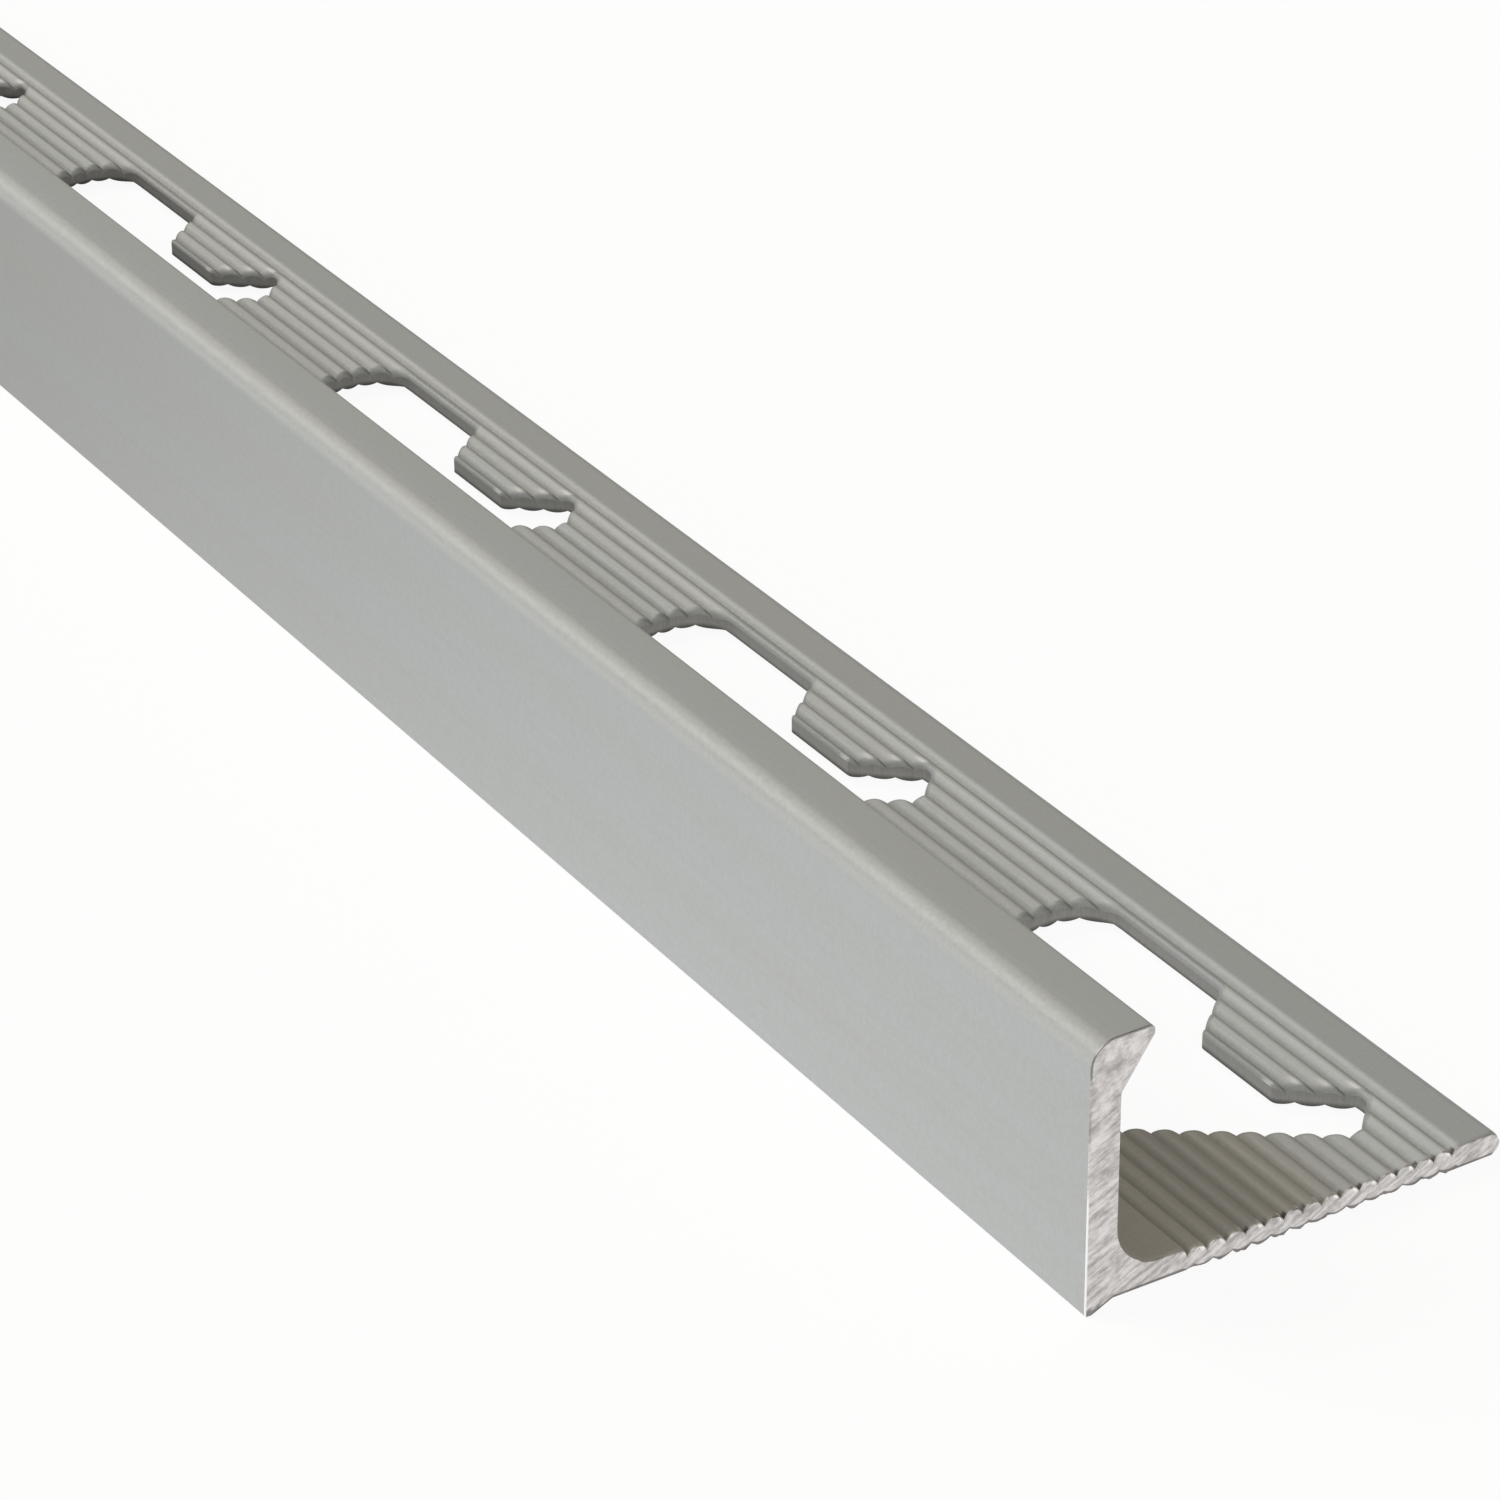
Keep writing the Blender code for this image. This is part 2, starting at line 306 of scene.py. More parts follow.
class Section:
    """The profile's section, with its leg's top and underside as heights over x."""

    def __init__(self, sizes, beads):
        self.sizes = sizes
        self.pitch = beads.pitch
        self.top_start = sizes.web + sizes.fillet + sizes.flat
        self.under_start = self.top_start + beads.under_shift
        self.end = sizes.width - sizes.tip_strip
        self.leg_top = sizes.leg_level + sizes.leg
        self.crest = self.leg_top - beads.setback
        self.valley = self.crest - beads.rise
        self.under_crest = sizes.leg_level - beads.under_drop
        self.under_valley = self.under_crest + beads.under_rise
        self.tip_under = sizes.leg_level - sizes.tip_drop
        self.tip_top = self.tip_under + sizes.tip
        self.samples = beads.samples

    def bead_count(self, start):
        return int((self.end - start) / self.pitch)

    def bump(self, across, height):
        """Height over the valley of a circle arc that rises to a height in the middle of a pitch.

        The arc's radius is (height squared + half pitch squared) / (2 height); across is the distance from
        the arc's middle.
        """
        half = self.pitch / 2
        radius = (height ** 2 + half ** 2) / (2 * height)
        inside = np.minimum(np.abs(across), half)
        return height - radius + np.sqrt(radius ** 2 - inside ** 2)

    def row(self, x, start, height, before, after):
        """Height over the valleys of a row of beads, with a half bead of its own height at each end."""
        last = start + self.bead_count(start) * self.pitch
        inside = self.bump((x - start) % self.pitch - self.pitch / 2, height)
        lead = self.bump(np.maximum(x - (start - self.pitch / 2), 0.0), before)
        tail = self.bump(np.minimum(x - (last + self.pitch / 2), 0.0), after)
        lead = np.where(x <= start - self.pitch / 2, before, lead)
        tail = np.where(x >= last + self.pitch / 2, after, tail)
        near_valley = np.abs((x - start + self.pitch / 2) % self.pitch - self.pitch / 2) < TOUCH
        inside = np.where(near_valley, 0.0, inside)
        return np.where(x <= start, lead, np.where(x >= last, tail, inside))

    def top(self, x):
        """Height of the leg's top: a row of round beads between the flat strip and the tip's strip."""
        row = self.row(x, self.top_start, self.crest - self.valley,
                       self.leg_top - self.valley, self.tip_top - self.valley)
        return self.valley + row

    def under(self, x):
        """Height of the leg's underside: the same kind of row turned over."""
        row = self.row(x, self.under_start, self.under_valley - self.under_crest,
                       self.under_valley - self.sizes.leg_level, self.under_valley - self.tip_under)
        return self.under_valley - row

    def bead_x(self, start, samples):
        """Positions across a row of beads: every valley and crest, and even steps of angle between them."""
        last = self.bead_count(start)
        steps = np.arange(-samples // 2, last * samples + samples // 2 + 1)
        return start + steps * self.pitch / samples

    def joined(self, top_x, under_x, side, middle):
        """Path over the beads on one side of two positions: along the top, a middle stretch, and back below."""
        top = self.bead_x(self.top_start, self.samples)
        top = top[(top - top_x) * side > TOUCH][::side]
        under = self.bead_x(self.under_start, self.samples)
        under = under[(under - under_x) * side > TOUCH][::-side]
        return np.concatenate([
            [(top_x, self.top(top_x))], np.column_stack((top, self.top(top))), middle,
            np.column_stack((under, self.under(under))), [(under_x, self.under(under_x))]])

    def inner_path(self, top_x, under_x):
        """Path from the leg's top round the upright to its underside, between the two given positions."""
        s = self.sizes
        lip = s.web + s.overhang
        corners = [
            (self.top_start - self.pitch / 2, self.leg_top),
            (s.web, self.leg_top),
            (s.web, s.height - s.lip_depth),
            (lip, s.height - s.lip_nose),
            (lip, s.height),
            (0.0, s.height),
            (0.0, 0.0),
            (s.toe, 0.0),
            (s.toe_width, s.leg_level),
            (self.under_start - self.pitch / 2, s.leg_level),
        ]
        radii = [s.fillet, s.corner, s.corner, s.edge, s.bullnose, s.corner, s.corner, s.fillet / 4]
        facets = [12, 2, 3, 4, 14, 3, 2, 3]
        return self.joined(top_x, under_x, -1, rounded_path(corners, radii, facets)[1:-1])

    def outer_path(self, top_x, under_x):
        """Path from the leg's top round its tip to its underside."""
        radius = self.sizes.tip / 2
        angle = np.linspace(math.pi / 2, -math.pi / 2, TIP_FACETS + 1)
        centre = (self.sizes.width - radius, self.tip_under + radius)
        nose = np.column_stack((centre[0] + radius * np.cos(angle), centre[1] + radius * np.sin(angle)))
        return self.joined(top_x, under_x, 1, nose)


# the punched holes

class Hole:
    """Outline of one punched hole, split into edges that each give y over x."""

    def __init__(self, section, sizes):
        self.inner = section.top_start + sizes.inner_strut
        self.outer = section.sizes.width - sizes.outer_strut
        self.tongue = self.outer - sizes.tongue
        self.first = sizes.end_strut
        self.pitch = sizes.pitch
        self.tongue_start = sizes.shoulder + sizes.slot_end
        self.tongue_slope = sizes.taper / sizes.tongue
        self.roll = sizes.roll
        self.drop = sizes.roll_drop
        shoulder = self.outer - sizes.shoulder
        tongue_near = self.tongue_start + sizes.taper
        tongue_far = tongue_near + sizes.tongue_tip
        window = tongue_far + sizes.taper
        slant_end = (shoulder - self.inner) * math.tan(sizes.slant)
        points = np.array([
            (shoulder, 0.0), (self.outer, sizes.shoulder), (self.outer, self.tongue_start),
            (self.tongue, tongue_near), (self.tongue, tongue_far),
            (self.outer, window), (self.outer, sizes.reach),
            (self.inner, sizes.reach), (self.inner, slant_end)])
        p, t, w = sizes.punch_radius, sizes.tongue_radius, sizes.window_radius
        self.arcs = corner_arcs(points, np.array([p, p, t, t, t, t, w, w, w]), HOLE_SHARE)
        self.centre_y = self.arcs[0][:, 1]
        turn = np.linspace(0.0, math.pi / 2, 4)
        self.ring = self.roll * (1.0 - np.cos(turn))
        self.curves = [arc_points(self.arcs, distance, FINE) for distance in self.ring]

    def edge(self, corners, ring, x):
        """y over x of the edge through the given corners, at one of the ring's distances from the hole.

        The straight stretches between the corners' arcs follow from joining them. Past its ends the edge
        keeps its last y, which closes the ring's corners.
        """
        curve = np.concatenate([self.curves[ring][corner] for corner in corners])
        if curve[0, 0] > curve[-1, 0]:
            curve = curve[::-1]
        return np.interp(x, curve[:, 0], curve[:, 1])

    def near(self, ring, x):
        return self.edge((8, 0, 1), ring, x)

    def tongue_near(self, ring, x):
        return self.edge((2, 3), ring, x)

    def tongue_far(self, ring, x):
        return self.edge((4, 5), ring, x)

    def far(self, ring, x):
        return self.edge((6, 7), ring, x)

    def share(self, distance):
        """Nearness to the hole: 1 at its edge and 0 where the roll begins."""
        return np.clip(1.0 - distance / self.roll, 0.0, 1.0)

    def lowered(self, distance):
        """Drop of the rolled edge: a quarter ellipse, full at the hole and none where the roll begins."""
        return self.drop * (1.0 - np.sqrt(1.0 - self.share(distance) ** 2))

    def arc_x(self):
        """Positions across the leg where an edge needs a sample: even steps of angle on every corner."""
        return arc_points(self.arcs, 0.0, COARSE)[..., 0].ravel()


def thinned(exact, filler):
    """Sorted positions: every exact one, and each filler that keeps its spacing from those."""
    exact = np.unique(exact)
    exact = exact[np.concatenate(([True], np.diff(exact) > TOUCH))]
    distance = np.abs(filler[:, None] - exact[None, :]).min(axis=1)
    return np.sort(np.concatenate((exact, filler[distance > SPACING])))


# surfaces

def grid_faces(rows, columns):
    """Quads of a grid of points, row by row."""
    index = np.arange(rows * columns).reshape(rows, columns)
    return np.stack((index[:-1, :-1], index[1:, :-1], index[1:, 1:], index[:-1, 1:]), axis=-1).reshape(-1, 4)


class Surface:
    """Gathers grids of points into one mesh, with a material number for each."""

    def __init__(self):
        self.points, self.faces, self.materials, self.rolled, self.used = [], [], [], [], 0

    def add(self, x, y, z, material, shifts=(0.0,), rolled=0.0):
        """Adds a grid, once for each shift along the length, with how far each point is rolled over."""
        x, y, z, rolled = np.broadcast_arrays(x, y, z, rolled)
        points = np.stack((x, y, z), axis=-1).reshape(-1, 3)
        faces = grid_faces(*x.shape)
        shifts = np.asarray(shifts, float)
        moved = points[None] + shifts[:, None, None] * np.array([0.0, 1.0, 0.0])
        first = self.used + np.arange(len(shifts)) * len(points)
        self.points.append(moved.reshape(-1, 3))
        self.faces.append((faces[None] + first[:, None, None]).reshape(-1, 4))
        self.materials.append(np.full(len(shifts) * len(faces), material))
        self.rolled.append(np.tile(rolled.ravel(), len(shifts)))
        self.used += len(shifts) * len(points)


def build_surface(section, hole, sizes):
    """Every grid of the profile in local coordinates, before its doubles are merged and its ends closed."""
    surface = Surface()
    whole = section.sizes.length
    holes = int((whole - 2 * sizes.end_strut - sizes.reach) / sizes.pitch + 1)
    starts = sizes.end_strut + np.arange(holes) * sizes.pitch
    low, high = hole.inner - hole.roll, hole.outer + hole.roll

    beads = section.bead_x(section.top_start, section.samples)
    valleys = np.concatenate((section.bead_x(section.top_start, 1), section.bead_x(section.under_start, 1)))
    valleys = valleys[valleys > section.top_start - TOUCH]
    exact = np.concatenate((valleys, hole.arc_x(), hole.inner - hole.ring, hole.outer + hole.ring))
    exact = exact[(exact >= low - TOUCH) & (exact <= high + TOUCH)]
    filler = beads[(beads > low) & (beads < high)]
    strut_x = thinned(exact, filler)
    tongue_x = thinned(
        np.concatenate((exact[exact >= hole.tongue - TOUCH], hole.tongue + hole.ring)),
        filler[filler > hole.tongue])
    hole_x = strut_x[(strut_x >= hole.inner - TOUCH) & (strut_x <= hole.outer + TOUCH)]
    tip_x = tongue_x[tongue_x <= hole.outer + TOUCH]

    # how far each column lies past the hole's sides, where the ring's corners close
    strut_past = np.maximum(np.maximum(strut_x - hole.outer, hole.inner - strut_x), 0.0)
    tongue_past = np.maximum(tongue_x - hole.outer, 0.0)

    def level_rows(x, values):
        return [np.full_like(x, value) for value in values]

    def strut_top(rows, distances, shifts):
        distance = np.maximum(distances[:, None], strut_past[None, :])
        z = section.top(strut_x)[None, :] - hole.lowered(distance)
        surface.add(strut_x[None, :], np.array(rows), z, SATIN, shifts, hole.share(distance))

    order = list(range(len(hole.ring)))
    leave = [hole.far(step, strut_x) for step in order]
    meet = [hole.near(step, strut_x) for step in reversed(order)]
    away, back = hole.ring, hole.ring[::-1]
    both = np.concatenate((away, back))
    far_y = whole - SAW_ROWS[::-1]
    plain = np.full(len(SAW_ROWS), hole.roll)
    strut_top(leave + [row + sizes.pitch for row in meet], both, starts[:-1])
    strut_top(level_rows(strut_x, SAW_ROWS) + [row + starts[0] for row in meet],
              np.concatenate((plain, back)), (0.0,))
    strut_top([row + starts[-1] for row in leave] + level_rows(strut_x, far_y),
              np.concatenate((away, plain)), (0.0,))

    rows = [hole.tongue_near(step, tongue_x) for step in order]
    rows += [hole.tongue_far(step, tongue_x) for step in reversed(order)]
    distance = np.maximum(both[:, None], tongue_past[None, :])
    distance = np.minimum(distance, (tongue_x - hole.tongue)[None, :])
    surface.add(tongue_x[None, :], np.array(rows), section.top(tongue_x)[None, :] - hole.lowered(distance),
                SATIN, starts, hole.share(distance))

    # straight stretches of the rolled edge beside the holes
    outside = strut_x >= hole.outer - TOUCH
    inside = strut_x <= hole.inner + TOUCH
    for side, first, last in ((outside, 1, 2), (outside, 5, 6), (inside, 7, 8)):
        y = hole.centre_y[[first, last]]
        past = strut_past[side][None, :]
        z = section.top(strut_x[side])[None, :] - hole.lowered(past)
        surface.add(strut_x[side][None, :], y[:, None], z, SATIN, starts, hole.share(past))

    # underside
    def strut_under(rows, shifts):
        surface.add(hole_x[None, :], np.array(rows), section.under(hole_x)[None, :], SATIN, shifts)

    strut_under([hole.far(0, hole_x), hole.near(0, hole_x) + sizes.pitch], starts[:-1])
    strut_under(level_rows(hole_x, SAW_ROWS) + [hole.near(0, hole_x) + starts[0]], (0.0,))
    strut_under([hole.far(0, hole_x) + starts[-1]] + level_rows(hole_x, far_y), (0.0,))
    surface.add(tip_x[None, :], np.array([hole.tongue_near(0, tip_x), hole.tongue_far(0, tip_x)]),
                section.under(tip_x)[None, :], SATIN, starts)

    # walls of the holes
    loop_x = np.concatenate((hole_x, tip_x[::-1], tip_x, hole_x[::-1], hole_x[:1]))
    loop_y = np.concatenate((
        hole.near(0, hole_x), hole.tongue_near(0, tip_x)[::-1], hole.tongue_far(0, tip_x),
        hole.far(0, hole_x)[::-1], hole.near(0, hole_x[:1])))
    loop_z = np.array([section.under(loop_x), section.top(loop_x) - hole.drop])
    surface.add(loop_x[None, :], loop_y[None, :], loop_z, PUNCHED, starts, np.array([[0.0], [1.0]]))

    # upright and tip, carried along the length
    inner_rows = (starts[:, None] + hole.centre_y[[7, 8]]).ravel()
    outer_rows = (starts[:, None] + hole.centre_y[[1, 2, 5, 6]]).ravel()
    for path, rows in ((section.inner_path(low, hole.inner), inner_rows),
                       (section.outer_path(high, hole.outer), outer_rows)):
        y = np.sort(np.concatenate((SAW_ROWS, rows, whole - SAW_ROWS)))
        surface.add(path[None, :, 0], y[:, None], path[None, :, 1], SATIN)
    return surface


def add_burr(points, section):
    """Uneven edges that the saw left at both ends, on the leg's top, its underside and the foot's slope.

    The leg's top is worn down as a quarter ellipse, full at the sawn face, less a random burr on the crests.
    The underside and the foot's slope hang down by a random height, never under the floor, which fades with
    the square of the distance from the sawn face.
    """
    sizes = section.sizes
    x, y, z = points.T
    random = np.random.default_rng(SEED)
    steps = np.arange(0.0, sizes.width + BURR_STEP, BURR_STEP)
    on_top = (x > sizes.web + sizes.fillet / 2) & (z < sizes.height / 4)
    on_top &= z > sizes.leg_level + sizes.leg / 2
    below = (x > sizes.toe) & (z < sizes.leg_level + sizes.leg / 5)
    crest = np.clip((z - section.valley) / (section.crest - section.valley), 0.0, 1.0)
    for distance in (y, sizes.length - y):
        near = np.clip(1.0 - distance / SAW_ROWS[-1], 0.0, 1.0)
        worn = 1.0 - np.sqrt(1.0 - near ** 2)
        up = np.interp(x, steps, random.random(len(steps)))
        down = np.interp(x, steps, random.random(len(steps)) ** 2)
        z -= np.where(on_top, worn * (WORN - BURR * crest * up), 0.0)
        z -= np.where(below, near ** 2 * BURR * down, 0.0)
    z[:] = np.maximum(z, 0.0)


def close_surface(surface, section, low_corner):
    """Merges the grids' doubles, closes both ends and turns all faces outwards."""
    points = np.concatenate(surface.points)
    add_burr(points, section)
    points += np.array(low_corner)
    mesh = bpy.data.meshes.new(PIECE)
    mesh.from_pydata(points, [], np.concatenate(surface.faces))
    mesh.polygons.foreach_set("material_index", np.concatenate(surface.materials).astype(np.int32))
    rolled = mesh.attributes.new(ROLLED, "FLOAT", "POINT")
    rolled.data.foreach_set("value", np.concatenate(surface.rolled).astype(np.float32))
    work = bmesh.new()
    work.from_mesh(mesh)
    bmesh.ops.remove_doubles(work, verts=work.verts[:], dist=MERGE)
    open_edges = [edge for edge in work.edges if len(edge.link_faces) == 1]
    made = bmesh.ops.holes_fill(work, edges=open_edges, sides=0)["faces"]
    for face in made:
        face.material_index = SAWN

    # faces within the first row beside an end belong to the sawn end too
    ends = (low_corner.y + SAW_ROWS[1], low_corner.y + section.sizes.length - SAW_ROWS[1])
    for face in work.faces:
        middle = face.calc_center_median().y
        if middle < ends[0] or middle > ends[1]:
            face.material_index = SAWN
    bmesh.ops.recalc_face_normals(work, faces=work.faces[:])
    if work.calc_volume(signed=True) < 0.0:
        bmesh.ops.reverse_faces(work, faces=work.faces[:])
    if len(made) != 2 or any(len(edge.link_faces) != 2 for edge in work.edges):
        raise RuntimeError("the profile's surface isn't closed")
    work.to_mesh(mesh)
    work.free()
    mesh.shade_smooth()
    mesh.set_sharp_from_angle(angle=SHARP)
    return mesh


# materials

class Socket:
    """A node's output. Python's operators on it add Math nodes."""

    def __init__(self, graph, output):
        self.graph, self.output = graph, output

    def math(self, operation, *values):
        return self.graph.add("ShaderNodeMath", {"operation": operation}, dict(enumerate(values)))

    def wave(self, reach):
        """Triangle wave between 0 and a reach."""
        return self.math("PINGPONG", self, reach)

    def size(self):
        return self.math("ABSOLUTE", self)

    def wrapped(self, period):
        """Remainder between 0 and a period."""
        return self.math("FLOORED_MODULO", self, period)

    def at_least(self, floor):
        return self.math("MAXIMUM", self, floor)

    def at_most(self, ceiling):
        return self.math("MINIMUM", self, ceiling)

    def line(self, first, last):
        """Straight line from a first value at 0 to a last one at 1."""
        return first + self * (last - first)

    def __add__(self, other):
        return self.math("ADD", self, other)

    def __radd__(self, other):
        return self.math("ADD", other, self)

    def __sub__(self, other):
        return self.math("SUBTRACT", self, other)

    def __rsub__(self, other):
        return self.math("SUBTRACT", other, self)

    def __mul__(self, other):
        return self.math("MULTIPLY", self, other)

    def __rmul__(self, other):
        return self.math("MULTIPLY", other, self)

    def __truediv__(self, other):
        return self.math("DIVIDE", self, other)

    def __pow__(self, other):
        return self.math("POWER", self, other)


def opaque(tint):
    """A colour with full alpha. A node's output stays as it is."""
    return tint if isinstance(tint, Socket) else (*tint, 1.0)


class Graph:
    """A material's node tree."""

    def __init__(self, tree):
        self.tree = tree
        tree.nodes.clear()

    def add(self, kind, settings=None, inputs=None, output=0):
        """Adds a node: its settings first, then its sockets' values or links. Returns one of its outputs."""
        node = self.tree.nodes.new(kind)
        for name, value in (settings or {}).items():
            setattr(node, name, value)
        for key, value in (inputs or {}).items():
            if isinstance(value, Socket):
                self.tree.links.new(value.output, node.inputs[key])
            else:
                node.inputs[key].default_value = value
        return Socket(self, node.outputs[output]) if len(node.outputs) else None

    def axis(self, name, space="Object"):
        """One coordinate of the surface point."""
        place = self.add("ShaderNodeTexCoord", output=space)
        return self.add("ShaderNodeSeparateXYZ", None, {0: place}, output=name)

    def noise(self, scale, detail, rough, turn=(0.0, 0.0, 0.0)):
        """Noise of about 0 to 1 on turned object coordinates, with one scale or its own along each axis."""
        scale = (scale,) * 3 if isinstance(scale, float) else scale
        place = self.add("ShaderNodeTexCoord", output="Object")
        turned = self.add("ShaderNodeMapping", {"vector_type": "POINT"}, {"Vector": place, "Rotation": turn})
        scaled = self.add("ShaderNodeVectorMath", {"operation": "MULTIPLY"}, {0: turned, 1: scale})
        return self.add("ShaderNodeTexNoise", None, {
            "Vector": scaled, "Scale": 1.0, "Detail": detail, "Roughness": rough})

    def ramp(self, value, low, high):
        """Smooth step from 0 at low to 1 at high."""
        return self.add("ShaderNodeMapRange", {"interpolation_type": "SMOOTHSTEP"}, {
            "Value": value, "From Min": low, "From Max": high})

    def mix(self, factor, first, second):
        """Colour between two, by a factor."""
        return self.add("ShaderNodeMix", {"data_type": "RGBA"}, {
            0: factor, 6: opaque(first), 7: opaque(second)}, output=2)

    def layered(self, colour, *layers):
        """Colour with others laid over it in turn, each by its share."""
        for share, tint in layers:
            colour = self.mix(share, colour, tint)
        return colour

    def metal(self, colour, roughness, height, depth, share=1.0):
        """Metal shader with fine relief, led to the output. The relief's height runs from 0 to 1."""
        normal = self.add("ShaderNodeBump", None, {"Height": height, "Distance": depth})
        self.end(self.add("ShaderNodeBsdfPrincipled", None, {
            "Base Color": colour, "Metallic": share, "Roughness": roughness, "Normal": normal}))

    def end(self, shader, kind="ShaderNodeOutputMaterial"):
        """Leads a shader to the tree's output."""
        self.add(kind, None, {"Surface": shader})


def new_graph(name):
    """Empty material and its graph."""
    material = bpy.data.materials.new(name)
    material.use_nodes = True
    return material, Graph(material.node_tree)


class Marks:
    """Where each mark of the finishes and of the painted light and shade begins and where it is full, in
    metres.
    """
    leg = (0.0022, 0.0018)
    past_beads = (0.0003, 0.0001)
    from_groove = (0.00034, 0.00003)
    crest_from_groove = (0.00022, 0.00046)
    crests_lit = (0.0045, 0.0105)
    near_web_up = (0.0070, 0.0028)
    near_web_over_foot = (0.0006, 0.0009)
    inner_shade_reach = (0.0115, 0.0070)
    corner_light_reach = (0.0040, 0.0)
    nose_up = (0.0003, 0.0007)
    nose_out = (0.0, 0.0003)
    nose_highlight_band = (0.00005, 0.00040)
    end_marks_reach = (0.00050, 0.00026)
    end_shade_from_groove = (0.00018, 0.00010)
    end_shade_across = (0.0012, 0.0036)
    burr_from_middle = (0.00014, 0.00006)
    shine_past_edge = (0.0001, 0.0003)
    shine_fades = (0.0010, 0.0005)
    calm_up = (0.0088, 0.0104)
    rim_from_nose = (-0.00004, 0.00003)
    rim_under_top = (-0.0019, -0.0014)
    rim_middle = (0.0078, 0.0084)
    rim_middle_ends = (0.0099, 0.0094)
    edge_in = (0.00010, 0.00003)
    edge_up = (0.0064, 0.0050)
    line_over_edge = (0.00011, 0.00003)
    smear_over_edge = (0.00078, 0.00056)
    smear_in = (0.0009, 0.0006)
    fleck_from_middle = (0.00013, 0.00007)
    fleck_under_crest = (-0.00030, -0.00014)
    blend = 0.0003
    darkening_in = (0.0062, 0.0030)
    dark_up = (0.00072, 0.00045)


def satin_material(finish_and_painted_light, section, hole):
    """Matt anodised aluminium: fine grain, faint streaks along it, painted shade in the grooves and a sawn edge
    with a painted shadow and glints.

    A point's distance from the nearest groove is a triangle wave of its distance from the first one. Beside
    the sawn ends the grooves carry a painted shadow, with a painted glint on the burr at each. The beads carry
    a painted highlight where they end at the tongue's near edge: y, wrapped at the holes' pitch, less the
    edge's y, which falls in a line with x. Painted shade also lies beside the upright, on the bullnose and on
    the rolled edges, and painted light in the corner and on the lit crests.
    """
    material, graph = new_graph("satin_aluminium")
    sizes, marks = section.sizes, Marks
    across = graph.axis("X") - (LOW.x + section.top_start)
    height = graph.axis("Z") - LOW.z
    from_end = HIGH.y - graph.axis("Y").size()
    from_groove = across.wave(section.pitch / 2)
    past_beads = (0.0 - across).at_least(across - (section.end - section.top_start))
    on_leg = graph.ramp(height, *marks.leg) * graph.ramp(past_beads, *marks.past_beads)
    streak = graph.noise((2600.0, 6.0, 2600.0), 3.0, 0.6)
    wide = graph.noise((300.0, 14.0, 300.0), 2.0, 0.5)
    grain = graph.noise(5200.0, 2.0, 0.6)
    tone = graph.ramp(streak * 0.55 + wide * 0.45, 0.30, 0.70)
    speck = graph.ramp(grain, 0.25, 0.75)

    # painted shade beside the upright and on the bullnose, painted warm light in the corner
    web_face = -sizes.fillet - sizes.flat
    film = graph.ramp(across, web_face - sizes.web, web_face)
    film = film * graph.ramp(height, *marks.near_web_up) * graph.ramp(height, *marks.near_web_over_foot)
    # painted shade of the upright on the leg beside it, with a brown tint
    inner = graph.ramp(across + wide * 0.003, *marks.inner_shade_reach) * film
    # painted warm light in the corner between upright and leg
    corner = graph.ramp(across, *marks.corner_light_reach) * film
    # painted shade on the bullnose, weaker along a thin band at its middle, which makes a painted highlight
    upwards = height - (sizes.height - sizes.bullnose)
    outwards = sizes.bullnose - section.top_start - across
    nose = graph.ramp(upwards, *marks.nose_up) * graph.ramp(outwards, *marks.nose_out)
    nose = nose * graph.ramp((upwards - outwards).size(), *marks.nose_highlight_band).line(0.65, 1.0)

    # painted shade in the grooves and on the rolled edges, painted highlights on the crests and at the bead
    # ends
    # painted shade in the grooves, stronger where the leg is lit
    groove = graph.ramp(from_groove, *marks.from_groove) * on_leg
    # painted highlight on the crests where the leg is lit, none on the rolled edges
    lit = graph.ramp(across, *marks.crests_lit)
    crest = graph.ramp(from_groove, *marks.crest_from_groove) * on_leg * lit
    rolled = graph.add("ShaderNodeAttribute", {"attribute_name": ROLLED}, output="Fac")
    plain = graph.ramp(rolled, 0.4, 0.0)
    # painted highlight where the beads end at the tongue's near edge
    along = (graph.axis("Y") - (LOW.y + hole.first)).wrapped(hole.pitch)
    past = along - hole.tongue_start - (hole.outer - section.top_start - across) * hole.tongue_slope
    end_highlight = crest * graph.ramp(past, *marks.shine_past_edge) * graph.ramp(past, *marks.shine_fades)

    # beside the sawn ends: painted shadow in the grooves' ends and a painted glint on each burr
    cut = graph.ramp(from_end + graph.noise(4000.0, 1.0, 0.5) * 0.0003, *marks.end_marks_reach) * on_leg
    # painted glint on the burr beside each groove, smoother too
    bright = cut * graph.ramp((across + SPECK_SHIFT).wave(section.pitch / 2), *marks.burr_from_middle)
    spot = graph.ramp(graph.noise(1100.0, 1.0, 0.5), 0.40, 0.56)
    # painted shadow in the grooves' ends beside the sawn ends
    dark = cut * graph.ramp(from_groove, *marks.end_shade_from_groove) * spot.line(0.35, 1.0)
    dark = dark * graph.ramp(across, *marks.end_shade_across).line(0.25, 1.0)

    # layers that paint shade: beside the upright, bullnose, rolled edges, grooves, sawn ends; that paint light:
    # corner, crests, bead ends, burr
    colour = graph.layered(
        finish_and_painted_light.satin,
        (tone, finish_and_painted_light.satin_warm),
        (inner, finish_and_painted_light.inner_shade),
        (corner, finish_and_painted_light.corner_light),
        (speck * 0.10 + nose * 0.50, finish_and_painted_light.speck_and_nose_shade),
        (graph.ramp(rolled, 0.0, 0.8) * finish_and_painted_light.roll_shade, finish_and_painted_light.rolled),
        (crest * plain * 0.55, finish_and_painted_light.crest),
        (end_highlight * 0.6, finish_and_painted_light.bead_end_highlight),
        (groove * lit.line(0.14, 0.28), finish_and_painted_light.groove),
        (dark * 0.85, finish_and_painted_light.torn),
        (bright * 0.8, finish_and_painted_light.burr))
    roughness = finish_and_painted_light.roughness + (streak - 0.5) * 0.08 + (grain - 0.5) * 0.10 - bright * 0.2
    graph.metal(colour, roughness, grain * 0.7 + streak * 0.3, 0.0000035, finish_and_painted_light.metal)
    return material


